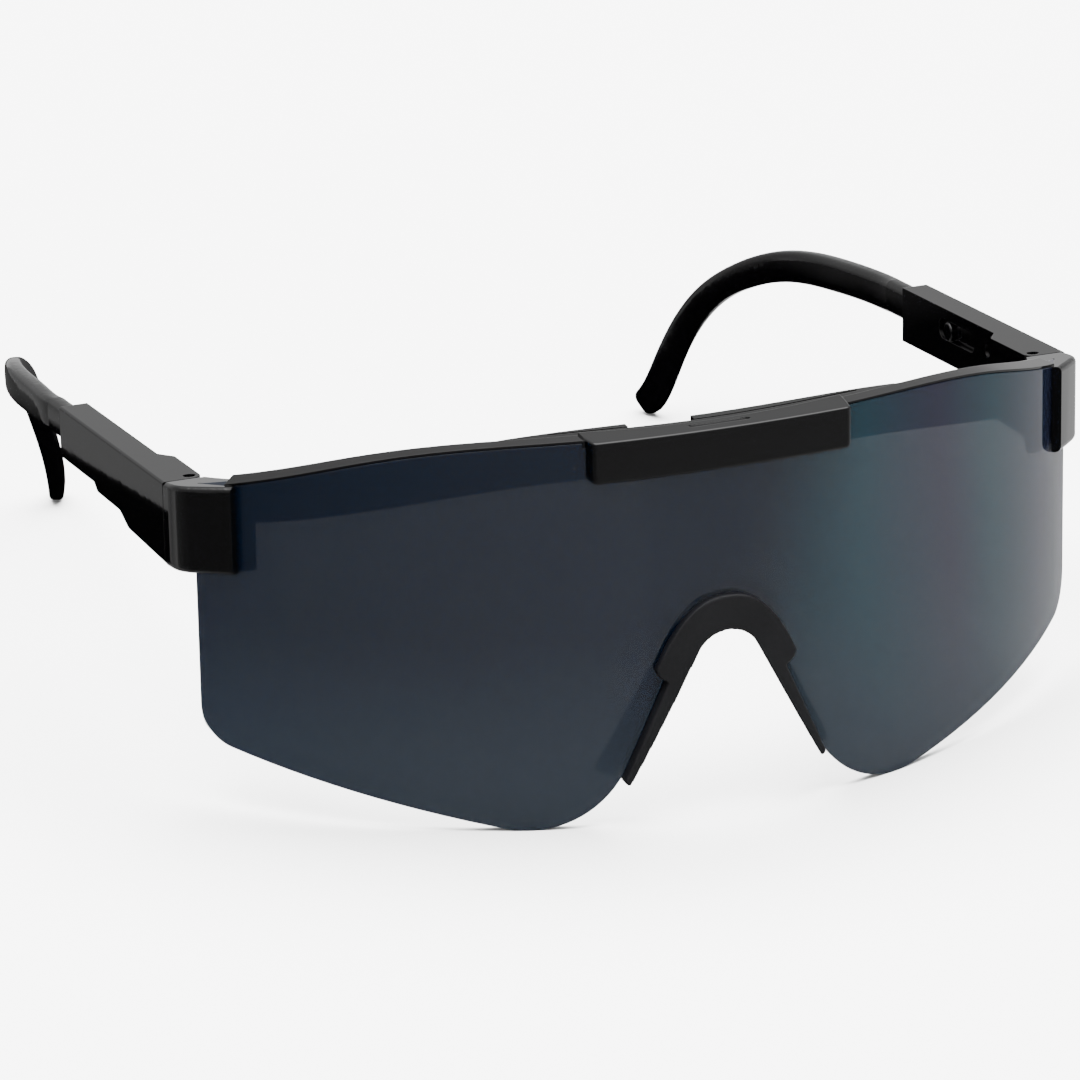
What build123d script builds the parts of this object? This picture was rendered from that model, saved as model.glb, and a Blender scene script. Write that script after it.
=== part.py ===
from build123d import *
import math
import os

# Wrap-round safety glasses with a one-piece lens, folding temples and length-adjusting arms.
#
# Millimetres. X runs across the face, the lens faces -Y, the temples run back along +Y and
# +Z is up. The glasses stand as they lie on a table, on the two lens lobes and the two ear tips.
# Depths in this file are measured from the foremost point of the lens, and every finished
# piece is moved back at the end so that the origin is under the middle of the whole object.
# A distance "along the lens" is measured round its curved front, from the middle.

# Lens: one curved sheet, a slice of a standing cylinder
LENS_RADIUS = 92.0          # outside face
LENS_THICKNESS = 1.8
LENS_HALF_WIDTH = 84.4      # along the lens
LENS_CORNER = (84.4, 11.2)  # where the side and the bottom edge would meet
LENS_LOBE = (21.4, -2.7)    # where the bottom edge and the nose edge would meet
NOTCH_PEAK = 45.5           # where the two nose edges would meet
CORNER_RADIUS = 6.9
LOBE_RADIUS = 16.8
NOTCH_RADIUS = 8.8
BROW_TOP = [(0, 63.4), (30, 63.0), (46, 61.5), (57, 59.2), (66, 56.7), (76, 54.0), (86, 51.6)]
LENS_TOP_DROP = 0.45        # the lens ends this far under the brow's outline
LENS_TOP_IN_CLIP = 62.1     # the top edge is cut down where the clip covers it
LENS_GAP = 0.1              # clearance between the lens and each piece that holds it

# Frame: a brow wall behind the lens, a clip in the middle and a block at each end
WALL_THICKNESS = 2.2
LIP_THICKNESS = 0.35         # a thin lip runs over the lens's top edge
LIP_SETBACK = 0.15          # behind the lens's outer face
LIP_ROOT = 0.8              # how far its foot reaches into the wall
LIP_FOOT = 1.8              # and how far down
WALL_TOP = [(0, 63.5), (15, 63.4), (30, 62.6), (46, 60.3), (57, 58.1), (66, 55.9), (76, 53.1), (86, 50.0)]
WALL_BOTTOM = [(0, 56.6), (24, 56.2), (49, 52.2), (67, 48.2), (78, 46.2), (86, 44.6)]
CLIP_HALF_FRONT = 21.0
CLIP_HALF_BACK = 21.4
CLIP_FRONT_MIDDLE = -1.2    # depth of the clip's front face at its middle
CLIP_FRONT_END = -0.2       # and at its ends
CLIP_TOP = 63.6
CLIP_BOTTOM = 56.7
CLIP_BRIDGE = 1.4           # thickness of the web over the lens
CLIP_FRONT_RADIUS = 0.9     # rounding of the lower front edge and of the two ends
CLIP_TOP_RADIUS = 0.35
CLIP_SLOT = (10.0, 1.1, 0.9)  # length, width and depth of the slot in its top
CLIP_SLOT_DEPTH = 1.5
RAIL_HALF = 34.0            # the rail behind the wall runs out to nothing here
RAIL_DEPTH = 2.0            # its reach behind the wall in the middle
RAIL_GROOVE = 0.5
RAIL_GROOVE_HALF = 27.0     # along the lens
RAIL_GAP = (-13.3, -2.9)
RAIL_BOTTOM = 57.3
GROOVE_FLOOR = 60.2

# End blocks, right-hand outline (x, depth); the left one is its mirror image
BLOCK_LIP_START = 76.7      # along the lens
BLOCK_LIP_END = 84.2
BLOCK_LIP_THICKNESS = 1.7
BLOCK_CORNER = (76.0, 37.1)
BLOCK_CORNER_RADIUS = 7.5
BLOCK_INNER = [(69.2, 42.2), (68.4, 40.2), (65.9, 35.2)]
BLOCK_ROOT = 75.2           # the block's inner face meets the brow wall here, along the lens
BLOCK_TOP = [(28.0, 53.9), (46.0, 50.3)]      # depth and height
BLOCK_BOTTOM = [(28.0, 39.4), (46.0, 36.5)]
BLOCK_EDGE_RADIUS = 1.2
BLOCK_TOP_EDGE_RADIUS = 0.8

# Hinges
SEAM_DEPTH = 42.2           # rear face of the end blocks
SEAM_GAP = 0.15
PIN_X = 71.1
PIN_DEPTH = 44.0
PIN_RADIUS = 1.0
PIN_CLEARANCE = 0.05
PIN_RECESS = 0.9            # each end of the pin stops this far inside its hole
TONGUE_RADIUS = 1.75
TONGUE_BOTTOM = 42.2
TONGUE_TOP = 47.2
TONGUE_GAP = 0.2
KNUCKLE_NOSE_RADIUS = 1.6

# Temple sleeves, right-hand one, heights as (depth, height)
SLEEVE_OUTER = 76.0
SLEEVE_SPLIT = 73.4         # the outer half has the stepped lower edge
SLEEVE_INNER = 71.3
KNUCKLE_INNER = 69.4
KNUCKLE_END = 59.7
KNUCKLE_SLANT = 3.0         # length of the slope from its inner face to the sleeve's
SLEEVE_END = 97.3
SLEEVE_TOP_FRONT = 51.1
TEMPLE_SLOPE = 0.107        # fall per mm of depth
KNUCKLE_LOW = (37.1, 36.2)  # height of its underside in front and behind
SLEEVE_STEPS = [(42.35, 37.1), (62.0, 36.1), (66.5, 37.6), (78.3, 36.6), (80.0, 37.7), (97.3, 36.0)]
SLEEVE_INNER_HEIGHT = 9.4
SLEEVE_EDGE_RADIUS = 0.45   # along the top
SLEEVE_FOOT_RADIUS = 1.3    # along the stepped lower edge
CHANNEL_FRONT = 55.5
CHANNEL_SIDE_GAP = 0.1
STOP_SLOT = (67.5, 82.0)    # front and rear end, in depth
STOP_SLOT_HEIGHT = 3.4
DIMPLE_DEPTH = 62.2
DIMPLE_RADIUS = 1.0
DIMPLE_SINK = 0.3

# Temple arms, right-hand one
ARM_X = 73.7
ARM_WIDTH = 3.4
ARM_HEIGHT = 5.7
ARM_BELOW_TOP = 3.6         # arm's centre line under the sleeve's top face
ARM_FRONT = 66.0
ARM_BEND_START = 106.0
ARM_SQUARENESS = 3.4        # 2 is an ellipse, more is nearer to an oblong
ARM_SECTION_POINTS = 16
ARM_TWIST = 26.0            # degrees that the section turns inwards by the tip
# centre line behind the sleeve: x, depth, height, width, height of section
ARM_SECTIONS = [
    (73.8, 113.0, 39.7, 3.5, 5.8),
    (73.2, 122.3, 38.5, 3.5, 5.8),
    (72.3, 132.7, 36.9, 3.5, 5.8),
    (70.0, 143.6, 34.8, 3.4, 5.5),
    (66.2, 153.2, 31.0, 3.4, 5.1),
    (62.7, 160.8, 25.7, 3.3, 4.9),
    (59.9, 165.9, 19.2, 3.1, 5.1),
    (57.4, 168.7, 11.9, 3.0, 5.4),
    (55.7, 171.2, 5.3, 2.8, 5.6),
    (54.8, 173.9, 2.1, 2.7, 5.1),
]
ARM_TIP_DOME = [(0.45, 0.93), (0.8, 0.7), (1.0, 0.35)]
ARM_TIP_REACH = 1.5
STOP_BUTTON_DEPTH = 77.8
STOP_BUTTON_RADIUS = 1.55
STOP_STEM_RADIUS = 0.8
STOP_STEM_LENGTH = 1.6
STOP_BUTTON_PROUD = 0.35

# Nose piece: a soft moulding in the lens notch
# opening for the nose: height where its sides would meet, sideways run per mm of fall, and radius
OPENING_FRONT = (37.3, 0.488, 5.4)
OPENING_BACK = (38.5, 0.6, 5.6)
NOSE_FRONT = 1.6            # reach in front of the lens
NOSE_FLANGE = [(0, 36.5), (3.65, 35.8), (7.1, 33.1), (9.7, 29.3), (11.6, 25.5)]
NOSE_FLANGE_FOOT = [(11.1, 24.3), (9.6, 23.3)]
NOSE_LEG_FOOT = 6.9
NOSE_FOOT_RADIUS = 0.8      # rounding of each leg's end
NOSE_BACK = 2.4             # reach of the core behind the lens
NOSE_BACK_FLANGE = 1.0      # thickness of the flange behind the lens
NOSE_BACK_LAP = 1.3         # how far that flange laps over the lens
PAD_TOP = 25.0
PAD_FOOT = 7.6
PAD_REACH = (1.6, 4.6)      # at its top and at its foot
PAD_THICKNESS = 1.4
PAD_INSET = -0.9            # its outer face lies this far outside the lens edge, hence below 0
PAD_FLARE = 24.0            # degrees outwards

TALL = 80.0                 # longer than any height or depth that is cut through


def arc_point(along, proud=0.0):
    """Plan position of a point along the lens, standing proud of its outer face."""
    turn = along / LENS_RADIUS
    reach = LENS_RADIUS + proud
    return (reach * math.sin(turn), LENS_RADIUS - reach * math.cos(turn))


def front_view(along, height):
    """Front-view position of a point on the lens."""
    return (LENS_RADIUS * math.sin(along / LENS_RADIUS), height)


def across(points):
    """A half outline and its mirror image, from the left end to the right end."""
    return [(-s, z) for s, z in reversed(points) if s > 0] + list(points)


def shell(outer, inner, half_along, low, high):
    """A slice of a standing tube about the lens's axis."""
    half_turn = math.degrees(half_along / LENS_RADIUS)
    axis = (0, LENS_RADIUS)
    wide = CenterArc(axis, outer, -90 - half_turn, 2 * half_turn)
    tight = CenterArc(axis, inner, -90 - half_turn, 2 * half_turn)
    sides = [Line(wide @ 0, tight @ 0), Line(wide @ 1, tight @ 1)]
    face = make_face([wide.edge(), tight.edge()] + [side.edge() for side in sides])
    return Pos(0, 0, low) * extrude(face, high - low, dir=(0, 0, 1))


def through(face):
    """Cut-out of a front view, run through the whole depth."""
    return extrude(Plane.XZ * face, TALL * 2, both=True)


def bent(edge):
    """The front view of an edge drawn on the flattened lens."""
    count = 9
    points = [edge @ (i / (count - 1)) for i in range(count)]
    return Spline(*[front_view(p.X, p.Y) for p in points]).edge()


def side_prism(points, x_low, x_high):
    """A side view (depth, height) run from one x to another."""
    face = make_face(Polyline(*points, close=True).edges())
    return Pos(x_low, 0, 0) * extrude(Plane.YZ * face, x_high - x_low)


def mirrored(part):
    return mirror(part, about=Plane.YZ)


def sleeve_top(depth):
    return SLEEVE_TOP_FRONT - TEMPLE_SLOPE * (depth - SEAM_DEPTH)


def arm_line(depth):
    return sleeve_top(depth) - ARM_BELOW_TOP


def make_lens():
    side = LENS_HALF_WIDTH
    half = [(0, NOTCH_PEAK), LENS_LOBE, LENS_CORNER, (side, 30)]
    outline = FilletPolyline(
        *across(half),
        radius=[CORNER_RADIUS, LOBE_RADIUS, NOTCH_RADIUS, LOBE_RADIUS, CORNER_RADIUS],
    )
    lower = [bent(edge) for edge in outline.edges()]
    top = Spline(*[front_view(s, z - LENS_TOP_DROP) for s, z in across(BROW_TOP)])
    reach = top @ 1
    foot = front_view(side, 30)
    closing = [
        Line((foot[0], foot[1]), (reach.X, foot[1])),
        Line((reach.X, foot[1]), (reach.X, reach.Y)),
        Line((-foot[0], foot[1]), (-reach.X, foot[1])),
        Line((-reach.X, foot[1]), (-reach.X, reach.Y)),
    ]
    face = make_face(lower + [top.edge()] + [line.edge() for line in closing])
    inner = LENS_RADIUS - LENS_THICKNESS
    sheet = shell(LENS_RADIUS, inner, side - 0.03, -5, TALL)
    covered = Pos(0, 0, LENS_TOP_IN_CLIP) * Box(
        2 * (CLIP_HALF_BACK + 0.4), TALL, 10, align=(Align.CENTER, Align.CENTER, Align.MIN)
    )
    return (sheet & through(face)) - covered


def band(top, bottom):
    """Front view of everything between two outlines given from the middle to one end."""
    upper = Spline(*[front_view(s, z) for s, z in across(top)])
    lower = Spline(*[front_view(s, z) for s, z in across(bottom)])
    sides = [Line(upper @ 0, lower @ 0), Line(upper @ 1, lower @ 1)]
    return make_face([upper.edge(), lower.edge()] + [side.edge() for side in sides])


def lowered(outline, drop):
    return [(s, z - drop) for s, z in outline]


def make_rail(inner):
    """The rail behind the wall, thickest in the middle, with a groove and a gap in its top."""
    rear = LENS_RADIUS - inner + RAIL_DEPTH
    end = LENS_RADIUS - math.sqrt(inner**2 - RAIL_HALF**2)
    curve = ThreePointArc((-RAIL_HALF, end), (0, rear), (RAIL_HALF, end))
    closing = Polyline((-RAIL_HALF, end), (-RAIL_HALF, 0), (RAIL_HALF, 0), (RAIL_HALF, end))
    block = extrude(make_face([curve.edge()] + closing.edges()), TALL, dir=(0, 0, 1))
    rail = block & shell(inner + 0.3, inner - 2 * RAIL_DEPTH, RAIL_HALF + 1, RAIL_BOTTOM, TALL)
    groove = shell(inner, inner - RAIL_GROOVE, RAIL_GROOVE_HALF, GROOVE_FLOOR, TALL)
    low, high = RAIL_GAP
    gap = Pos(low, 0, GROOVE_FLOOR) * Box(high - low, TALL, TALL, align=(Align.MIN, Align.CENTER, Align.MIN))
    return rail - groove - (gap - shell(LENS_RADIUS, inner, RAIL_HALF, 0, 2 * TALL))


def make_wall():
    outer = LENS_RADIUS - LENS_THICKNESS - LENS_GAP
    inner = outer - WALL_THICKNESS
    reach = BLOCK_LIP_START + 2
    wall = shell(outer, inner, reach, 30, TALL)
    wall = (wall + make_rail(inner)) & through(band(WALL_TOP, WALL_BOTTOM))
    lip = shell(LENS_RADIUS - LIP_SETBACK, outer - LIP_ROOT, reach, 30, TALL)
    return wall + (lip & through(band(BROW_TOP, lowered(BROW_TOP, LIP_FOOT))))


def make_clip():
    inner = LENS_RADIUS - LENS_THICKNESS - LENS_GAP - WALL_THICKNESS / 2
    rear = LENS_RADIUS - math.sqrt(inner**2 - CLIP_HALF_BACK**2)
    mid = LENS_RADIUS - inner
    lens_depth = LENS_RADIUS - math.sqrt(LENS_RADIUS**2 - CLIP_HALF_BACK**2)
    front_arc = ThreePointArc(
        (-CLIP_HALF_FRONT, CLIP_FRONT_END), (0, CLIP_FRONT_MIDDLE), (CLIP_HALF_FRONT, CLIP_FRONT_END)
    )
    rear_arc = ThreePointArc((-CLIP_HALF_BACK, rear), (0, mid), (CLIP_HALF_BACK, rear))
    ends = []
    for side in (-1, 1):
        ends.append(Polyline(
            (side * CLIP_HALF_FRONT, CLIP_FRONT_END),
            (side * CLIP_HALF_BACK, lens_depth),
            (side * CLIP_HALF_BACK, rear),
        ))
    edges = [front_arc.edge(), rear_arc.edge()]
    for end in ends:
        edges += end.edges()
    block = Pos(0, 0, CLIP_BOTTOM) * extrude(make_face(edges), CLIP_TOP - CLIP_BOTTOM, dir=(0, 0, 1))
    front_edges = [
        e for e in block.edges()
        if e.center().Y < 1.2 and (e.center().Z < CLIP_BOTTOM + 0.1 or abs(e.center().X) > 20.5)
        and e.center().Z < CLIP_TOP - 0.1
    ]
    block = fillet(front_edges, CLIP_FRONT_RADIUS)
    top_front = [e for e in block.edges() if e.center().Z > CLIP_TOP - 0.1 and e.center().Y < 0.5]
    block = fillet(top_front, CLIP_TOP_RADIUS)
    length, width, sink = CLIP_SLOT
    slot = Pos(0, CLIP_SLOT_DEPTH, CLIP_TOP - sink) * extrude(SlotOverall(length, width), 2 * sink)
    return block - slot


def lens_room():
    """The space that the lens needs, with its clearance."""
    outer = LENS_RADIUS + LENS_GAP
    inner = LENS_RADIUS - LENS_THICKNESS - LENS_GAP
    low = [(0, -TALL), (TALL, -TALL)]
    slot = shell(outer, inner, LENS_HALF_WIDTH + 0.2, 30, TALL)
    slot &= through(band(lowered(BROW_TOP, LIP_THICKNESS), low))
    half = CLIP_HALF_BACK + 0.3
    over = Pos(0, 0, CLIP_TOP - CLIP_BRIDGE) * Box(
        2 * half, TALL, TALL, align=(Align.CENTER, Align.CENTER, Align.MIN)
    )
    return slot - over


def block_blank():
    """The end block before its edges are rounded."""
    start = arc_point(BLOCK_LIP_START, BLOCK_LIP_THICKNESS)
    middle = arc_point((BLOCK_LIP_START + BLOCK_LIP_END) / 2, BLOCK_LIP_THICKNESS)
    end = arc_point(BLOCK_LIP_END, BLOCK_LIP_THICKNESS)
    back = arc_point(BLOCK_LIP_START, -LENS_THICKNESS - 0.5)
    rear = [(BLOCK_CORNER[0], SEAM_DEPTH)] + BLOCK_INNER
    corner = FilletPolyline(end, BLOCK_CORNER, rear[0], radius=BLOCK_CORNER_RADIUS)
    lip = ThreePointArc(start, middle, end)
    inner = Polyline(*rear, arc_point(BLOCK_ROOT, -LENS_THICKNESS - 1.5), back, start)
    face = make_face([lip.edge()] + corner.edges() + inner.edges())
    prism = extrude(face, TALL, dir=(0, 0, 1))
    heights = side_prism(BLOCK_TOP + BLOCK_BOTTOM[::-1], 50, 90)
    return prism & heights


def block_rims(block, upper):
    """The outer rim edges along the block's top or bottom."""
    outside = [
        e for e in block.edges()
        if e.center().X > PIN_X - 2 and e.center().Y < SEAM_DEPTH - 1
        and e.length > 2 and abs((e @ 1).Z - (e @ 0).Z) < 3
        and e.center().X ** 2 + (e.center().Y - LENS_RADIUS) ** 2 > (LENS_RADIUS + 0.5) ** 2
    ]
    return [e for e in outside if (e.center().Z > (BLOCK_TOP[1][1] + BLOCK_BOTTOM[0][1]) / 2) == upper]


def make_end_block():
    block = block_blank()
    block = fillet(block_rims(block, False), BLOCK_EDGE_RADIUS)
    block = fillet(block_rims(block, True), BLOCK_TOP_EDGE_RADIUS)
    tongue_height = TONGUE_TOP - TONGUE_BOTTOM
    tongue = Pos(PIN_X, PIN_DEPTH, TONGUE_BOTTOM) * Cylinder(
        TONGUE_RADIUS, tongue_height, align=(Align.CENTER, Align.CENTER, Align.MIN)
    )
    tongue += Pos(PIN_X, PIN_DEPTH, TONGUE_BOTTOM) * Box(
        2 * TONGUE_RADIUS, PIN_DEPTH - SEAM_DEPTH + 1, tongue_height,
        align=(Align.CENTER, Align.MAX, Align.MIN),
    )
    hole = Pos(PIN_X, PIN_DEPTH, 0) * Cylinder(
        PIN_RADIUS + PIN_CLEARANCE, TALL, align=(Align.CENTER, Align.CENTER, Align.MIN)
    )
    return block + (tongue - hole)


def make_frame():
    block = make_end_block()
    frame = make_wall() + make_clip() + block + mirrored(block)
    return frame - lens_room()


def knuckle_slope():
    """The wedge cut off the knuckle's inner rear corner."""
    step = SLEEVE_INNER - KNUCKLE_INNER
    corner = (SLEEVE_INNER, KNUCKLE_END)
    far = (KNUCKLE_INNER - step, KNUCKLE_END - 2 * KNUCKLE_SLANT)
    face = make_face(Polyline(corner, far, (far[0], corner[1]), close=True).edges())
    return extrude(face, TALL, dir=(0, 0, 1))


def make_sleeve():
    """Right-hand temple sleeve: knuckle in front, hollow box behind."""
    front = SEAM_DEPTH + SEAM_GAP
    top = [(SLEEVE_END, sleeve_top(SLEEVE_END)), (front, sleeve_top(front))]
    outer = side_prism(SLEEVE_STEPS + top, SLEEVE_SPLIT, SLEEVE_OUTER)
    knuckle_low = [(front, KNUCKLE_LOW[0]), (KNUCKLE_END, KNUCKLE_LOW[1])]
    knuckle_top = [(KNUCKLE_END, sleeve_top(KNUCKLE_END)), (front, sleeve_top(front))]
    knuckle = side_prism(knuckle_low + knuckle_top, KNUCKLE_INNER, SLEEVE_SPLIT)
    inner_low = [
        (KNUCKLE_END - 1, sleeve_top(KNUCKLE_END - 1) - SLEEVE_INNER_HEIGHT),
        (SLEEVE_END, sleeve_top(SLEEVE_END) - SLEEVE_INNER_HEIGHT),
    ]
    inner_top = [(SLEEVE_END, sleeve_top(SLEEVE_END)), (KNUCKLE_END - 1, sleeve_top(KNUCKLE_END - 1))]
    inner = side_prism(inner_low + inner_top, SLEEVE_INNER, SLEEVE_SPLIT)
    sleeve = outer + knuckle + inner
    nose = [
        e for e in sleeve.edges()
        if abs(e.center().X - KNUCKLE_INNER) < 0.05 and abs(e.center().Y - front) < 0.05
    ]
    sleeve = fillet(nose, KNUCKLE_NOSE_RADIUS)
    low_outer = [
        e for e in sleeve.edges()
        if abs(e.center().X - SLEEVE_OUTER) < 0.05 and e.center().Z < 40 and e.length > 1
        and abs((e @ 0).Y - (e @ 1).Y) > 0.5
    ]
    sleeve = fillet(low_outer, SLEEVE_FOOT_RADIUS)
    top_outer = [
        e for e in sleeve.edges()
        if abs(e.center().X - SLEEVE_OUTER) < 0.05 and e.length > 40 and e.center().Z > 42
    ]
    sleeve = fillet(top_outer, SLEEVE_EDGE_RADIUS)
    sleeve -= knuckle_slope()
    room = ARM_WIDTH + 2 * CHANNEL_SIDE_GAP
    half = ARM_HEIGHT / 2 + CHANNEL_SIDE_GAP
    ends = (CHANNEL_FRONT, SLEEVE_END + 1)
    channel = side_prism(
        [(ends[0], arm_line(ends[0]) - half), (ends[1], arm_line(ends[1]) - half),
         (ends[1], arm_line(ends[1]) + half), (ends[0], arm_line(ends[0]) + half)],
        ARM_X - room / 2, ARM_X + room / 2,
    )
    sleeve -= channel
    slope = math.degrees(math.atan(TEMPLE_SLOPE))
    middle = sum(STOP_SLOT) / 2
    window = SlotOverall(STOP_SLOT[1] - STOP_SLOT[0], STOP_SLOT_HEIGHT, rotation=-slope)
    window = Plane.YZ * (Pos(middle, arm_line(middle)) * window)
    sleeve -= Pos(SLEEVE_INNER - 1, 0, 0) * extrude(window, 2.0)
    dimple = Plane.YZ * (Pos(DIMPLE_DEPTH, arm_line(DIMPLE_DEPTH)) * Circle(DIMPLE_RADIUS))
    sleeve -= Pos(SLEEVE_INNER - 1, 0, 0) * extrude(dimple, 1 + DIMPLE_SINK)
    gap = TONGUE_RADIUS + TONGUE_GAP
    sleeve -= Pos(PIN_X + gap, PIN_DEPTH + gap, TONGUE_BOTTOM - TONGUE_GAP) * Box(
        10, 10, TONGUE_TOP - TONGUE_BOTTOM + 2 * TONGUE_GAP, align=(Align.MAX, Align.MAX, Align.MIN)
    )
    sleeve -= Pos(PIN_X, PIN_DEPTH, 0) * Cylinder(
        PIN_RADIUS, TALL, align=(Align.CENTER, Align.CENTER, Align.MIN)
    )
    return sleeve


def make_hinge_pin():
    low = SLEEVE_STEPS[0][1] + PIN_RECESS
    high = sleeve_top(PIN_DEPTH) - PIN_RECESS
    pin = Cylinder(PIN_RADIUS, high - low, align=(Align.CENTER, Align.CENTER, Align.MIN))
    return Pos(PIN_X, PIN_DEPTH, low) * chamfer(pin.edges().filter_by(GeomType.CIRCLE), 0.2)


def arm_section(place, run, turn, width, height):
    """A rounded oblong across the arm's run, drawn as one closed curve."""
    points = []
    for step in range(ARM_SECTION_POINTS):
        angle = 2 * math.pi * step / ARM_SECTION_POINTS
        level, upright = math.cos(angle), math.sin(angle)
        reach = (abs(level) ** ARM_SQUARENESS + abs(upright) ** ARM_SQUARENESS) ** (-1 / ARM_SQUARENESS)
        points.append((reach * level * width / 2, reach * upright * height / 2))
    side = Vector(math.cos(turn), math.sin(turn), 0)
    side = (side - run * side.dot(run)).normalized()
    plane = Plane(origin=place, x_dir=side, z_dir=run)
    return plane * make_face(Spline(*points, periodic=True).edge())


def make_arm():
    """Right-hand arm: a straight tongue in the sleeve, then a bow over the ear."""
    start = Vector(ARM_X, ARM_FRONT, arm_line(ARM_FRONT))
    stop = Vector(ARM_X, ARM_BEND_START, arm_line(ARM_BEND_START))
    straight = (stop - start).normalized()
    places = [stop] + [Vector(x, depth, z) for x, depth, z, _, _ in ARM_SECTIONS]
    sizes = [(ARM_WIDTH, ARM_HEIGHT)] + [(w, h) for _, _, _, w, h in ARM_SECTIONS]
    line = Spline(*places, tangents=[straight, (places[-1] - places[-2]).normalized()])
    bow = []
    for place, size in zip(places, sizes):
        share = line.edge().param_at_point(place)
        bow.append(arm_section(place, line % share, math.radians(ARM_TWIST * share), *size))
    tip = [bow[-1]]
    for reach, share in ARM_TIP_DOME:
        place = line @ 1 + (line % 1) * (ARM_TIP_REACH * reach)
        size = [side * share for side in sizes[-1]]
        tip.append(arm_section(place, line % 1, math.radians(ARM_TWIST), *size))
    tongue = extrude(arm_section(start, straight, 0, *sizes[0]), (stop - start).length, dir=straight)
    return tongue + loft(bow) + loft(tip)


def make_stop_button():
    """Button on the arm's inner face that runs in the sleeve's window."""
    inner_face = ARM_X - ARM_WIDTH / 2
    turn = Rot(0, -90, 0)
    height = arm_line(STOP_BUTTON_DEPTH)
    proud = inner_face - SLEEVE_INNER + STOP_BUTTON_PROUD
    head = Pos(inner_face, STOP_BUTTON_DEPTH, height) * turn * Cylinder(
        STOP_BUTTON_RADIUS, proud, align=(Align.CENTER, Align.CENTER, Align.MIN)
    )
    outer_rim = [e for e in head.edges() if e.center().X < inner_face - proud + 0.05]
    head = fillet(outer_rim, 0.3)
    stem = Pos(inner_face, STOP_BUTTON_DEPTH, height) * turn * Cylinder(
        STOP_STEM_RADIUS, STOP_STEM_LENGTH, align=(Align.CENTER, Align.CENTER, Align.MAX)
    )
    return head + stem


def stem_hole():
    height = arm_line(STOP_BUTTON_DEPTH)
    return Pos(ARM_X - ARM_WIDTH / 2, STOP_BUTTON_DEPTH, height) * Rot(0, -90, 0) * Cylinder(
        STOP_STEM_RADIUS, STOP_STEM_LENGTH + 0.1, align=(Align.CENTER, Align.CENTER, Align.MAX)
    )


def wedge(peak, slope, radius):
    """Front view of an upturned V with a round top."""
    foot = -20.0
    spread = (peak - foot) * slope
    outline = FilletPolyline((-spread, foot), (0, peak), (spread, foot), radius=radius)
    return make_face(outline.edges() + [Line((-spread, foot), (spread, foot)).edge()])


def notch_slope():
    return LENS_LOBE[0] / (NOTCH_PEAK - LENS_LOBE[1])


def notch(margin):
    """Front view of the lens's notch, set in from the lens edge by a margin."""
    slope = notch_slope()
    return wedge(NOTCH_PEAK - margin * math.hypot(1, slope) / slope, slope, NOTCH_RADIUS - margin)


def nose_opening(front, behind):
    """The opening for the nose, wider behind, as a solid between two depths."""
    narrow = Plane.XZ.offset(-front) * wedge(*OPENING_FRONT)
    broad = Plane.XZ.offset(-behind) * wedge(*OPENING_BACK)
    return loft([narrow, broad])


def above(height):
    return Pos(0, height + 30) * Rectangle(80, 60)


def make_nose_piece():
    inner = LENS_RADIUS - LENS_THICKNESS - LENS_GAP
    outer = LENS_RADIUS + NOSE_FRONT
    core_face = (notch(LENS_GAP) - wedge(*OPENING_FRONT)) & above(NOSE_LEG_FOOT)
    feet = [v for v in core_face.vertices() if v.Y < NOSE_LEG_FOOT + 0.1]
    core_face = fillet(feet, NOSE_FOOT_RADIUS)
    core = shell(outer, inner - NOSE_BACK, 30, 0, 50) & through(core_face)
    arch = Spline(*across(NOSE_FLANGE))
    left = [(-s, z) for s, z in NOSE_FLANGE_FOOT[::-1]]
    foot = Polyline(arch @ 1, *NOSE_FLANGE_FOOT, *left, arch @ 0)
    flange_face = make_face([arch.edge()] + foot.edges())
    flange = shell(outer, LENS_RADIUS + LENS_GAP, 30, 0, 50) & through(flange_face)
    lap = notch(-NOSE_BACK_LAP) & above(PAD_FOOT)
    back = shell(inner, inner - NOSE_BACK_FLANGE, 30, 0, 50) & through(lap)
    pad = make_pad(inner)
    piece = core + flange + back + pad + mirrored(pad)
    return piece - nose_opening(-NOSE_FRONT - 1, LENS_RADIUS - inner + NOSE_BACK + 3)


def make_pad(inner):
    """Right-hand pad: a leaf that runs back from the leg, flares outwards and narrows upwards."""
    slope = notch_slope()
    outline = []
    for height, inset in (
        (PAD_FOOT, PAD_INSET), (PAD_TOP, PAD_INSET),
        (PAD_TOP, PAD_INSET + PAD_THICKNESS), (PAD_FOOT, PAD_INSET + PAD_THICKNESS),
    ):
        outline.append(((NOTCH_PEAK - height) * slope - inset * math.hypot(1, slope), height))
    face = make_face(Polyline(*outline, close=True).edges())
    start = LENS_RADIUS - inner + 0.6
    flare = math.radians(PAD_FLARE)
    longest = max(PAD_REACH)
    leaf = extrude(Plane.XZ.offset(-start) * face, longest, dir=(math.sin(flare), math.cos(flare), 0))
    short, long = [start + reach * math.cos(flare) for reach in PAD_REACH]
    side = [(0, 0), (long, 0), (long, PAD_FOOT), (short, PAD_TOP), (0, PAD_TOP)]
    ahead = LENS_RADIUS + 2 * NOSE_FRONT
    return (leaf & side_prism(side, 0, TALL)) - shell(ahead, inner, 30, 0, TALL)


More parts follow.
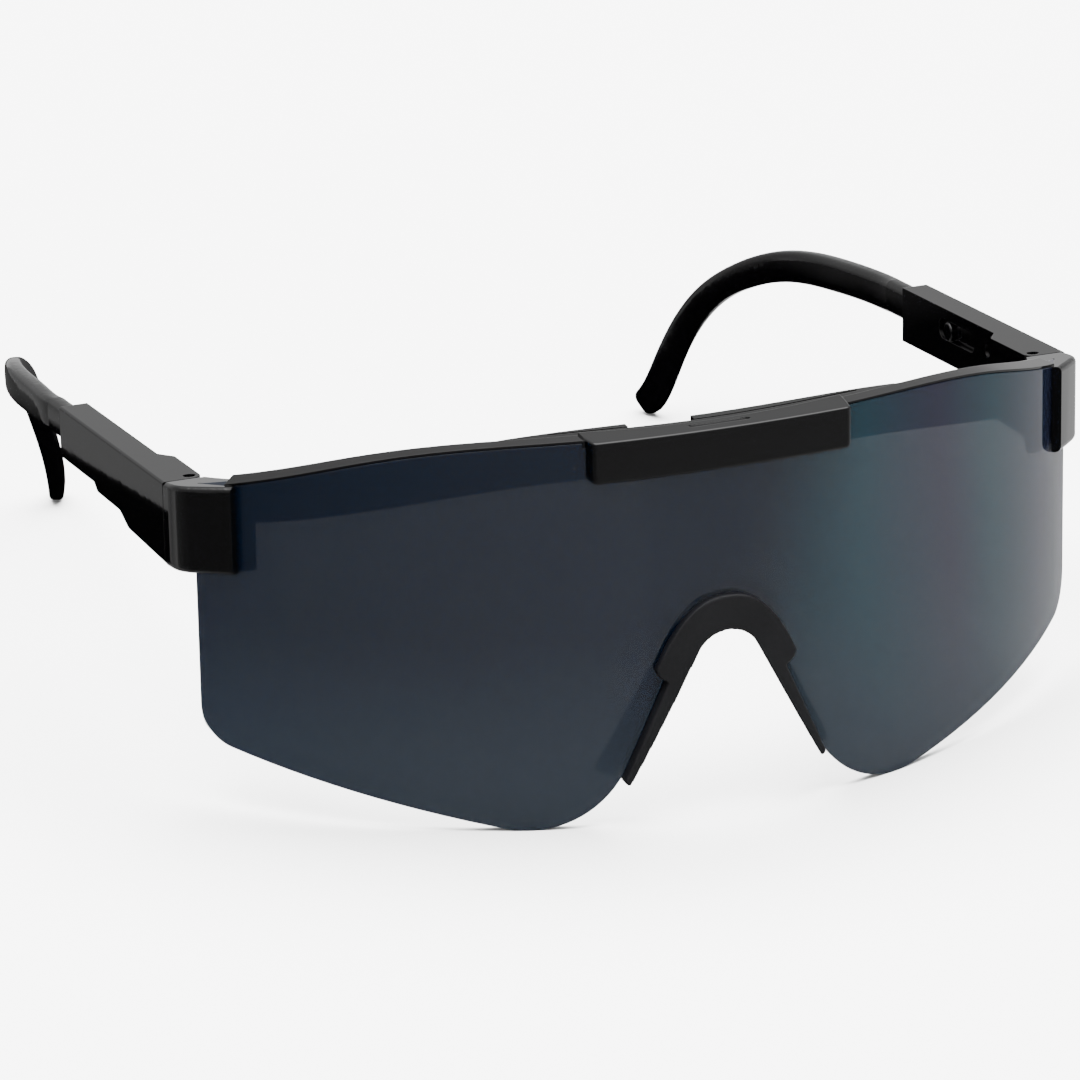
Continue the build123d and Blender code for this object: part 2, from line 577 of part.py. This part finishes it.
def finish(pieces):
    """Move every piece so that the origin is under the middle, and write it."""
    boxes = [piece.bounding_box() for piece in pieces.values()]
    front = min(box.min.Y for box in boxes)
    rear = max(box.max.Y for box in boxes)
    low = min(box.min.Z for box in boxes)
    shift = Pos(0, -(front + rear) / 2, -low)
    os.makedirs("parts", exist_ok=True)
    for name, piece in pieces.items():
        box = piece.bounding_box()
        print("%-26s solids %d  volume %8.1f  low %6.2f" % (
            name, len(piece.solids()), piece.volume, box.min.Z - low
        ))
        export_step(shift * piece, "parts/%s.step" % name)
    print("the lens front lies %.3f before the middle" % ((front + rear) / 2))
    print("everything was raised by %.3f" % -low)


def main():
    sleeve = make_sleeve()
    arm = make_arm() - stem_hole()
    button = make_stop_button()
    pin = make_hinge_pin()
    pieces = {
        "frame_front": make_frame(),
        "lens": make_lens(),
        "nose_piece": make_nose_piece(),
    }
    for name, piece in (
        ("temple_sleeve", sleeve), ("temple_arm", arm),
        ("length_stop_button", button), ("hinge_pin", pin),
    ):
        pieces[name + "_left"] = piece
        pieces[name + "_right"] = mirrored(piece)
    finish(pieces)


main()
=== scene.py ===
import math

import bmesh
import bpy
from mathutils import Matrix, Vector


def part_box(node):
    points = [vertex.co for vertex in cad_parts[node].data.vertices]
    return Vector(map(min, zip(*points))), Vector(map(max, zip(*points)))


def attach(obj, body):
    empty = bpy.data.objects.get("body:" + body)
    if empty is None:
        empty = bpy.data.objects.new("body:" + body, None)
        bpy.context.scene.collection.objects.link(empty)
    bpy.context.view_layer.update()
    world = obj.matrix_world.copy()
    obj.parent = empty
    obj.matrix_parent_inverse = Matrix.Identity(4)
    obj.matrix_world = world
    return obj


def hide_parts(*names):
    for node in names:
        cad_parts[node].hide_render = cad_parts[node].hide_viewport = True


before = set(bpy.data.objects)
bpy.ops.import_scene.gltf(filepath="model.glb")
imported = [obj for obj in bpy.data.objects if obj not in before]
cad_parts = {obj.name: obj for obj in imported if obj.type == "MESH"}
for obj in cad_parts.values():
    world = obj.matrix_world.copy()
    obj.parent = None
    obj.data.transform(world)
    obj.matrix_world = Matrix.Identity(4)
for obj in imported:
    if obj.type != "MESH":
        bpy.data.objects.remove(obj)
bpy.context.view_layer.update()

bl_info = {
    "name": "Wrap-round safety glasses",
    "version": (1, 0, 0),
    "blender": (4, 5, 0),
    "location": "3D View > Sidebar > Glasses",
    "description": "Finishes the packed safety glasses: lens, frame, nose piece, temples and studio",
    "category": "Add Mesh",
}

MM = 0.001
SIDES = ("left", "right")
EDGE = 0.13 * MM             # how far moulded edges look rounded
SHEET_WAVE = 0.0015 * MM     # depth of the waves in the lens's polished faces
TURNING_MARKS = 0.004 * MM   # depth of the rings round a pin
DUST = (0.016, 0.016, 0.017)
LENS_DUST = (0.02, 0.021, 0.023)
LENS_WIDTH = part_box("lens")[1].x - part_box("lens")[0].x
LENS_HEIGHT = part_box("lens")[1].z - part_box("lens")[0].z


# ---------------------------------------------------------------- settings

class PlasticSettings(bpy.types.PropertyGroup):
    """The glossy black moulding of the frame, the sleeves and the arms."""
    colour: bpy.props.FloatVectorProperty(
        name="Colour", description="Body colour of the moulded plastic", subtype="COLOR",
        size=3, min=0, max=1, default=(0.0003, 0.0003, 0.0004))
    roughness: bpy.props.FloatProperty(
        name="Roughness", description="Average roughness of the polished faces",
        subtype="FACTOR", min=0, max=1, default=0.03)
    arm_roughness: bpy.props.FloatProperty(
        name="Arm roughness", description="Average roughness of the sliding arms",
        subtype="FACTOR", min=0, max=1, default=0.08)
    waviness: bpy.props.FloatProperty(
        name="Waviness", description="Depth of the mould's shallow waves",
        unit="LENGTH", precision=6, min=0, max=0.001, default=0.000007)


class LensSettings(bpy.types.PropertyGroup):
    """The smoke-tinted sheet."""
    tint: bpy.props.FloatVectorProperty(
        name="Tint", description="Body colour of the smoke tint", subtype="COLOR",
        size=3, min=0, max=1, default=(0.0001, 0.0014, 0.0048))
    # the coating's teal and violet are colours it shows in reflection; here they are painted into the base
    # colour
    teal: bpy.props.FloatVectorProperty(
        name="Coating, teal", description="Greenish shade of the coating", subtype="COLOR",
        size=3, min=0, max=1, default=(0.0010, 0.0082, 0.0126))
    violet: bpy.props.FloatVectorProperty(
        name="Coating, violet", description="Purplish shade of the coating", subtype="COLOR",
        size=3, min=0, max=1, default=(0.0034, 0.0034, 0.0094))
    # painted reflection of the floor: the paler colour that the tint turns to towards the lower edge
    painted_floor_light: bpy.props.FloatVectorProperty(
        name="Painted floor reflection", description="Paler shade towards the lower edge", subtype="COLOR",
        size=3, min=0, max=1, default=(0.0058, 0.0092, 0.0142))
    density: bpy.props.FloatProperty(
        name="Density", description="How much of what is behind each face it hides",
        subtype="FACTOR", min=0, max=1, default=0.953)
    density_left: bpy.props.FloatProperty(
        name="Density, left end", description="The same at the wearer's left end, where it is clearer",
        subtype="FACTOR", min=0, max=1, default=0.924)
    roughness: bpy.props.FloatProperty(
        name="Roughness", description="Roughness of the polished sheet",
        subtype="FACTOR", min=0, max=1, default=0.05)


class RubberSettings(bpy.types.PropertyGroup):
    """The soft nose piece."""
    colour: bpy.props.FloatVectorProperty(
        name="Colour", description="Body colour of the rubber", subtype="COLOR",
        size=3, min=0, max=1, default=(0.0016, 0.0016, 0.0026))
    grain: bpy.props.FloatProperty(
        name="Grain", description="Depth of the fine moulded grain",
        unit="LENGTH", precision=6, min=0, max=0.001, default=0.00003)
    cell: bpy.props.FloatProperty(
        name="Cell", description="Size of the cells that the moulding's surface is remade in",
        unit="LENGTH", precision=5, min=0.0001, max=0.002, default=0.00022)
    softness: bpy.props.IntProperty(
        name="Softness", description="How many times the surface is relaxed", min=0, max=40, default=5)


class SteelSettings(bpy.types.PropertyGroup):
    """The hinge pins."""
    colour: bpy.props.FloatVectorProperty(
        name="Colour", description="Colour of the steel", subtype="COLOR",
        size=3, min=0, max=1, default=(0.36, 0.36, 0.38))


class StudioSettings(bpy.types.PropertyGroup):
    """Floor, light and camera."""
    floor: bpy.props.FloatVectorProperty(
        name="Floor", description="Colour of the floor", subtype="COLOR",
        size=3, min=0, max=1, default=(0.93, 0.93, 0.93))
    floor_reach: bpy.props.FloatProperty(
        name="Floor reach", description="Half width of the floor", unit="LENGTH", min=1, default=40.0)
    light_power: bpy.props.FloatProperty(
        name="Light power", description="Power of the overhead light", unit="POWER", min=0, default=560.0)
    light_size: bpy.props.FloatProperty(
        name="Light size", description="Side of the overhead light", unit="LENGTH", min=0.1, default=3.0)
    light_height: bpy.props.FloatProperty(
        name="Light height", description="Height of the overhead light", unit="LENGTH", min=0.5, default=2.4)
    azimuth: bpy.props.FloatProperty(
        name="Azimuth", description="How far the camera stands round to the wearer's right",
        subtype="ANGLE", default=math.radians(20.17))
    elevation: bpy.props.FloatProperty(
        name="Elevation", description="How far the camera looks down",
        subtype="ANGLE", default=math.radians(20.88))
    roll: bpy.props.FloatProperty(
        name="Roll", description="Turn about the line of sight",
        subtype="ANGLE", default=math.radians(-1.11))
    distance: bpy.props.FloatProperty(
        name="Distance", description="From the camera to the point it looks at",
        unit="LENGTH", min=0.1, default=1.0894)
    focal_length: bpy.props.FloatProperty(
        name="Focal length", description="Lens of the camera, in millimetres, on a 36 mm sensor",
        min=10, default=240.0)


# ---------------------------------------------------------------- materials

class Tree:
    """A node tree, with short calls for the nodes that materials and the world share."""

    def __init__(self, owner):
        owner.use_nodes = True
        self.nodes = owner.node_tree.nodes
        self.links = owner.node_tree.links

    def ramp(self, source, *stops):
        """A colour ramp over (position, value or colour) stops."""
        node = self.nodes.new("ShaderNodeValToRGB")
        marks = node.color_ramp.elements
        while len(marks) < len(stops):
            marks.new(0.5)
        for mark, (position, value) in zip(marks, stops):
            mark.position = position
            mark.color = (*value, 1) if hasattr(value, "__len__") else (value, value, value, 1)
        self.links.new(source, node.inputs["Fac"])
        return node.outputs["Color"]

    def math(self, operation, *values):
        node = self.nodes.new("ShaderNodeMath")
        node.operation = operation
        for socket, value in zip(node.inputs, values):
            if isinstance(value, (int, float)):
                socket.default_value = value
            else:
                self.links.new(value, socket)
        return node.outputs[0]

    def mix(self, share, first, second):
        """From the first colour at 0 to the second at 1; each is a colour or a socket."""
        node = self.nodes.new("ShaderNodeMix")
        node.data_type = "RGBA"
        sockets = [s for s in node.inputs if s.type == "RGBA"]
        self.links.new(share, node.inputs[0])
        for socket, value in zip(sockets, (first, second)):
            if isinstance(value, bpy.types.NodeSocket):
                self.links.new(value, socket)
            else:
                socket.default_value = (*value, 1)
        return next(s for s in node.outputs if s.type == "RGBA")


class Recipe(Tree):
    """One material's node tree."""

    def __init__(self, name):
        self.material = bpy.data.materials.new(name)
        super().__init__(self.material)
        self.shader = self.nodes["Principled BSDF"]
        self.place = self.nodes.new("ShaderNodeTexCoord").outputs["Object"]

    def set(self, **sockets):
        for name, value in sockets.items():
            self.shader.inputs[name.replace("_", " ")].default_value = value

    def stretched(self, scale):
        node = self.nodes.new("ShaderNodeMapping")
        node.inputs["Scale"].default_value = scale
        self.links.new(self.place, node.inputs["Vector"])
        return node.outputs["Vector"]

    def noise(self, scale, detail=2.0, place=None):
        node = self.nodes.new("ShaderNodeTexNoise")
        node.inputs["Scale"].default_value = scale
        node.inputs["Detail"].default_value = detail
        self.links.new(place or self.place, node.inputs["Vector"])
        return node.outputs["Fac"]

    def specks(self, scale, size):
        """1 inside small round specks, one to a cell and most of them left out, and 0 elsewhere."""
        node = self.nodes.new("ShaderNodeTexVoronoi")
        node.inputs["Scale"].default_value = scale
        self.links.new(self.place, node.inputs["Vector"])
        near = self.ramp(node.outputs["Distance"], (0.0, 1.0), (size, 0.0))
        chosen = self.nodes.new("ShaderNodeSeparateColor")
        self.links.new(node.outputs["Color"], chosen.inputs["Color"])
        kept = self.ramp(chosen.outputs["Red"], (0.93, 0.0), (0.97, 1.0))
        return self.math("MULTIPLY", near, kept)

    def axis(self, name):
        """One coordinate of the place on the piece."""
        node = self.nodes.new("ShaderNodeSeparateXYZ")
        self.links.new(self.place, node.inputs[0])
        return node.outputs[name]

    def bump(self, height, distance, edge=0.0):
        """Fine relief, over edges that look rounded to a radius."""
        node = self.nodes.new("ShaderNodeBump")
        node.inputs["Strength"].default_value = 1.0
        node.inputs["Distance"].default_value = distance
        self.links.new(height, node.inputs["Height"])
        if edge:
            rounded = self.nodes.new("ShaderNodeBevel")
            rounded.samples = 6
            rounded.inputs["Radius"].default_value = edge
            self.links.new(rounded.outputs["Normal"], node.inputs["Normal"])
        self.links.new(node.outputs["Normal"], self.shader.inputs["Normal"])

    def feed(self, socket, source):
        self.links.new(source, self.shader.inputs[socket])


def black_gloss(name, colour, roughness, waviness):
    """Moulded black plastic: shallow waves, faint rubbing marks and a little dust."""
    recipe = Recipe(name)
    recipe.set(IOR=1.49)
    rubbed = recipe.noise(900, 4, recipe.stretched((1, 0.16, 1)))
    patches = recipe.noise(70, 3)
    worn = recipe.math("MULTIPLY", rubbed, patches)
    recipe.feed("Roughness", recipe.ramp(worn, (0.1, roughness * 0.8), (0.5, roughness * 1.7)))
    dust = recipe.specks(420, 0.12)
    body = recipe.mix(patches, [c * 0.8 for c in colour], [c * 1.25 for c in colour])
    recipe.feed("Base Color", recipe.mix(dust, body, DUST))
    recipe.bump(recipe.noise(160, 2), waviness, EDGE)
    return recipe.material


def smoke_lens(settings):
    """Dark polished sheet with a few specks of dust, made paler towards its lower edge by a painted
    reflection of the floor, and with the coating's teal and violet reflections painted into its colour as
    bands.
    """
    recipe = Recipe("smoke_lens")
    recipe.set(IOR=1.585)
    drift = recipe.math("MULTIPLY_ADD", recipe.noise(22, 1.0, recipe.stretched((1, 1, 0.5))), 0.16, 0.42)
    along = recipe.math("MULTIPLY_ADD", recipe.axis("X"), 1 / LENS_WIDTH, drift)
    # painted reflection: the coating's teal and violet are laid into the colour as fixed bands across the
    # sheet
    shade = recipe.ramp(
        along, (0.0, settings.tint), (0.56, settings.tint), (0.68, settings.teal),
        (0.78, settings.violet), (0.87, settings.teal), (1.0, settings.violet)
    )
    recipe.feed("Alpha", recipe.ramp(along, (0.5, settings.density), (0.75, settings.density_left)))
    up = recipe.math("MULTIPLY", recipe.axis("Z"), 1 / LENS_HEIGHT)
    # painted reflection of the floor: the colour turns paler towards the lower edge of the sheet
    painted_floor_lit = recipe.mix(recipe.ramp(up, (0.0, 1.0), (0.5, 0.0)), shade, settings.painted_floor_light)
    recipe.feed("Base Color", recipe.mix(recipe.specks(260, 0.07), painted_floor_lit, LENS_DUST))
    smears = recipe.noise(55, 3, recipe.stretched((1, 1, 0.4)))
    smooth, smeared = settings.roughness * 0.75, settings.roughness * 1.6
    recipe.feed("Roughness", recipe.ramp(smears, (0.35, smooth), (0.7, smeared)))
    recipe.bump(recipe.noise(30, 1), SHEET_WAVE, EDGE)
    return recipe.material


def soft_rubber(settings):
    """Matte rubber with fine grain, paler where it has been rubbed."""
    recipe = Recipe("nose_rubber")
    recipe.set(IOR=1.45)
    grain = recipe.noise(2600, 3)
    patches = recipe.noise(90, 3)
    colour = settings.colour
    recipe.feed("Base Color", recipe.mix(patches, [c * 0.75 for c in colour], [c * 1.4 for c in colour]))
    recipe.feed("Roughness", recipe.ramp(patches, (0.3, 0.46), (0.7, 0.62)))
    recipe.bump(grain, settings.grain)
    return recipe.material


def pin_steel(settings):
    """Turned steel with rings round the pin."""
    recipe = Recipe("pin_steel")
    recipe.set(Metallic=1.0)
    turned = recipe.noise(1200, 2, recipe.stretched((0.2, 0.2, 3)))
    recipe.feed("Roughness", recipe.ramp(turned, (0.3, 0.28), (0.7, 0.42)))
    colour = settings.colour
    recipe.feed("Base Color", recipe.mix(recipe.noise(300), [c * 0.8 for c in colour], colour))
    recipe.bump(turned, TURNING_MARKS)
    return recipe.material


def merged_copy(node, name):
    """A new object with a CAD node's shape, its loose triangles joined into one surface."""
    shape = bmesh.new()
    shape.from_mesh(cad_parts[node].data)
    bmesh.ops.remove_doubles(shape, verts=shape.verts, dist=0.001 * MM)
    mesh = bpy.data.meshes.new(name)
    shape.to_mesh(mesh)
    shape.free()
    piece = bpy.data.objects.new(name, mesh)
    bpy.context.scene.collection.objects.link(piece)
    return piece


def paint(thing, material):
    """Gives a mesh object one material for all its faces."""
    thing.data.materials.clear()
    thing.data.materials.append(material)
    return thing


def paint_nodes(names, material):
    for name in names:
        paint(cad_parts[name], material)


# ---------------------------------------------------------------- pieces

class GLASSES_OT_lens(bpy.types.Operator):
    """Finish the one-piece lens"""
    bl_idname = "glasses.lens"
    bl_label = "Lens"

    def execute(self, context):
        paint_nodes(["lens"], smoke_lens(context.scene.glasses_lens))
        return {"FINISHED"}


class GLASSES_OT_frame(bpy.types.Operator):
    """Finish the frame front and both sleeves"""
    bl_idname = "glasses.frame"
    bl_label = "Frame and sleeves"

    def execute(self, context):
        plastic = context.scene.glasses_plastic
        gloss = black_gloss("frame_gloss", plastic.colour, plastic.roughness, plastic.waviness)
        paint_nodes(["frame_front"] + ["temple_sleeve_" + side for side in SIDES], gloss)
        return {"FINISHED"}


class GLASSES_OT_arms(bpy.types.Operator):
    """Finish the sliding arms and their stop buttons"""
    bl_idname = "glasses.arms"
    bl_label = "Arms and stop buttons"

    def execute(self, context):
        plastic = context.scene.glasses_plastic
        satin = black_gloss("arm_gloss", plastic.colour, plastic.arm_roughness, plastic.waviness)
        for side in SIDES:
            paint_nodes(["temple_arm_" + side, "length_stop_button_" + side], satin)
        return {"FINISHED"}


class GLASSES_OT_nose_piece(bpy.types.Operator):
    """Finish the soft nose piece"""
    bl_idname = "glasses.nose_piece"
    bl_label = "Nose piece"

    def execute(self, context):
        settings = context.scene.glasses_rubber
        piece = merged_copy("nose_piece", "nose_rubber")
        fine = piece.modifiers.new("cells", "REMESH")
        fine.mode = "VOXEL"
        fine.voxel_size = settings.cell
        fine.use_smooth_shade = True
        relaxed = piece.modifiers.new("soften", "SMOOTH")
        relaxed.factor = 0.5
        relaxed.iterations = settings.softness
        paint(piece, soft_rubber(settings))
        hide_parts("nose_piece")
        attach(piece, "front")
        return {"FINISHED"}


class GLASSES_OT_pins(bpy.types.Operator):
    """Finish the hinge pins"""
    bl_idname = "glasses.pins"
    bl_label = "Hinge pins"

    def execute(self, context):
        paint_nodes(["hinge_pin_" + side for side in SIDES], pin_steel(context.scene.glasses_steel))
        return {"FINISHED"}


# ---------------------------------------------------------------- studio

# brightness of the room's lower half: share of a turn from the back, round by the wearer's right
# (0.25), the front (0.5) and the wearer's left (0.75), with the grey there
ROOM = (
    (0.0, 0.32), (0.10, 0.28), (0.15, 0.75), (0.165, 0.25), (0.27, 0.13), (0.42, 0.33),
    (0.512, 0.43), (0.515, 0.36), (0.60, 0.40), (0.75, 0.62), (0.85, 1.0), (0.96, 0.85),
)
# where the lower half gives way to the upper: height as a share of the way from straight down to
# straight up, with the share of the upper half there
HORIZON = ((0.45, 0.0), (0.56, 1.0))
# brightness of the upper half: the same measure of height, with the grey there
SKY = ((0.5, 0.54), (0.72, 0.54), (0.84, 1.2), (0.93, 5.0))
# corners of the dark card, in millimetres
FLAG = ((-121, 30), (75, 30), (75, 260), (-75, 260))
AIM = Vector((-28.37, -83.17, 47.95)) * MM   # the point that the camera looks at


def sight_frame(settings):
    """The camera's right, up and forward directions."""
    a, e, roll = -settings.azimuth, settings.elevation, settings.roll
    forward = Vector((-math.sin(a) * math.cos(e), math.cos(a) * math.cos(e), -math.sin(e)))
    right = forward.cross(Vector((0, 0, 1))).normalized()
    up = right.cross(forward)
    turned_right = right * math.cos(roll) + up * math.sin(roll)
    return turned_right, turned_right.cross(forward), forward


def make_camera(settings):
    right, up, forward = sight_frame(settings)
    data = bpy.data.cameras.new("camera")
    data.lens = settings.focal_length
    data.sensor_width = 36.0
    data.clip_start = 0.05
    camera = bpy.data.objects.new("camera", data)
    turn = Matrix((right, up, -forward)).transposed().to_4x4()
    camera.matrix_world = Matrix.Translation(AIM - forward * settings.distance) @ turn
    bpy.context.scene.collection.objects.link(camera)
    bpy.context.scene.camera = camera


def flat_sheet(name, corners):
    mesh = bpy.data.meshes.new(name)
    shape = bmesh.new()
    shape.faces.new([shape.verts.new(corner) for corner in corners])
    shape.to_mesh(mesh)
    shape.free()
    sheet = bpy.data.objects.new(name, mesh)
    bpy.context.scene.collection.objects.link(sheet)
    return sheet


def make_floor(settings):
    """A wide pale floor, which the glossy plastic doesn't mirror."""
    reach = settings.floor_reach
    corners = [(-reach, -reach, 0), (reach, -reach, 0), (reach, reach, 0), (-reach, reach, 0)]
    floor = flat_sheet("floor", corners)
    recipe = Recipe("floor")
    recipe.set(Roughness=0.9, Base_Color=(*settings.floor, 1))
    paint(floor, recipe.material)
    floor.visible_glossy = False


def make_flag():
    """A dark card between the temples, paler towards the back and seen only in the polished faces."""
    card = flat_sheet("flag", [(x * MM, y * MM, 0.5 * MM) for x, y in FLAG])
    recipe = Recipe("flag")
    recipe.set(Roughness=1.0, Specular_IOR_Level=0.0)
    back = recipe.math("MULTIPLY", recipe.axis("Y"), 1 / FLAG[2][1] / MM)
    recipe.feed("Base Color", recipe.ramp(back, (0.42, 0.0005), (0.56, 0.012)))
    paint(card, recipe.material)
    for ray in ("camera", "diffuse", "shadow", "transmission"):
        setattr(card, "visible_" + ray, False)


def make_overhead(settings):
    """A broad soft light over the table, kept out of the reflections."""
    data = bpy.data.lights.new("overhead", "AREA")
    data.shape = "SQUARE"
    data.size = settings.light_size
    data.energy = settings.light_power
    lamp = bpy.data.objects.new("overhead", data)
    lamp.location = (0.3, 0.4, settings.light_height)
    lamp.visible_glossy = False
    bpy.context.scene.collection.objects.link(lamp)


def make_world():
    """A studio seen in the reflections: brightness by compass direction low down, white above."""
    world = bpy.data.worlds.new("studio")
    tree = Tree(world)
    background = tree.nodes["Background"]
    parts = tree.nodes.new("ShaderNodeSeparateXYZ")
    tree.links.new(tree.nodes.new("ShaderNodeTexCoord").outputs["Generated"], parts.inputs[0])
    front = tree.math("MULTIPLY", parts.outputs["Y"], -1.0)
    compass = tree.math("ARCTAN2", parts.outputs["X"], front)
    turn = tree.math("MULTIPLY_ADD", compass, 0.5 / math.pi, 0.5)
    height = tree.math("MULTIPLY_ADD", parts.outputs["Z"], 0.5, 0.5)
    low, high = tree.ramp(turn, *ROOM), tree.ramp(height, *SKY)
    seen = tree.mix(tree.ramp(height, *HORIZON), low, high)
    tree.links.new(seen, background.inputs["Color"])
    background.inputs["Strength"].default_value = 1.0
    bpy.context.scene.world = world


class GLASSES_OT_studio(bpy.types.Operator):
    """Set up the floor, the light and the camera"""
    bl_idname = "glasses.studio"
    bl_label = "Studio"

    def execute(self, context):
        settings = context.scene.glasses_studio
        make_floor(settings)
        make_flag()
        make_overhead(settings)
        make_world()
        make_camera(settings)
        return {"FINISHED"}


# ---------------------------------------------------------------- add-on

class GLASSES_PT_panel(bpy.types.Panel):
    """Lists the pieces and their sizes and colours"""
    bl_idname = "GLASSES_PT_panel"
    bl_label = "Safety glasses"
    bl_space_type = "VIEW_3D"
    bl_region_type = "UI"
    bl_category = "Glasses"

    def draw(self, context):
        for step in STEPS:
            self.layout.operator("glasses." + step)
        for name in SETTINGS:
            box = self.layout.box()
            group = getattr(context.scene, name)
            for field in group.bl_rna.properties:
                if field.identifier not in ("rna_type", "name"):
                    box.prop(group, field.identifier)


STEPS = ("lens", "frame", "arms", "nose_piece", "pins", "studio")
SETTINGS = {
    "glasses_lens": LensSettings,
    "glasses_plastic": PlasticSettings,
    "glasses_rubber": RubberSettings,
    "glasses_steel": SteelSettings,
    "glasses_studio": StudioSettings,
}
CLASSES = (
    *SETTINGS.values(), GLASSES_OT_lens, GLASSES_OT_frame, GLASSES_OT_arms, GLASSES_OT_nose_piece,
    GLASSES_OT_pins, GLASSES_OT_studio, GLASSES_PT_panel,
)


def register():
    for item in CLASSES:
        bpy.utils.register_class(item)
    for name, group in SETTINGS.items():
        setattr(bpy.types.Scene, name, bpy.props.PointerProperty(type=group))


def unregister():
    for name in SETTINGS:
        delattr(bpy.types.Scene, name)
    for item in reversed(CLASSES):
        bpy.utils.unregister_class(item)


def main():
    register()
    for step in STEPS:
        getattr(bpy.ops.glasses, step)()


if __name__ == "__main__":
    main()
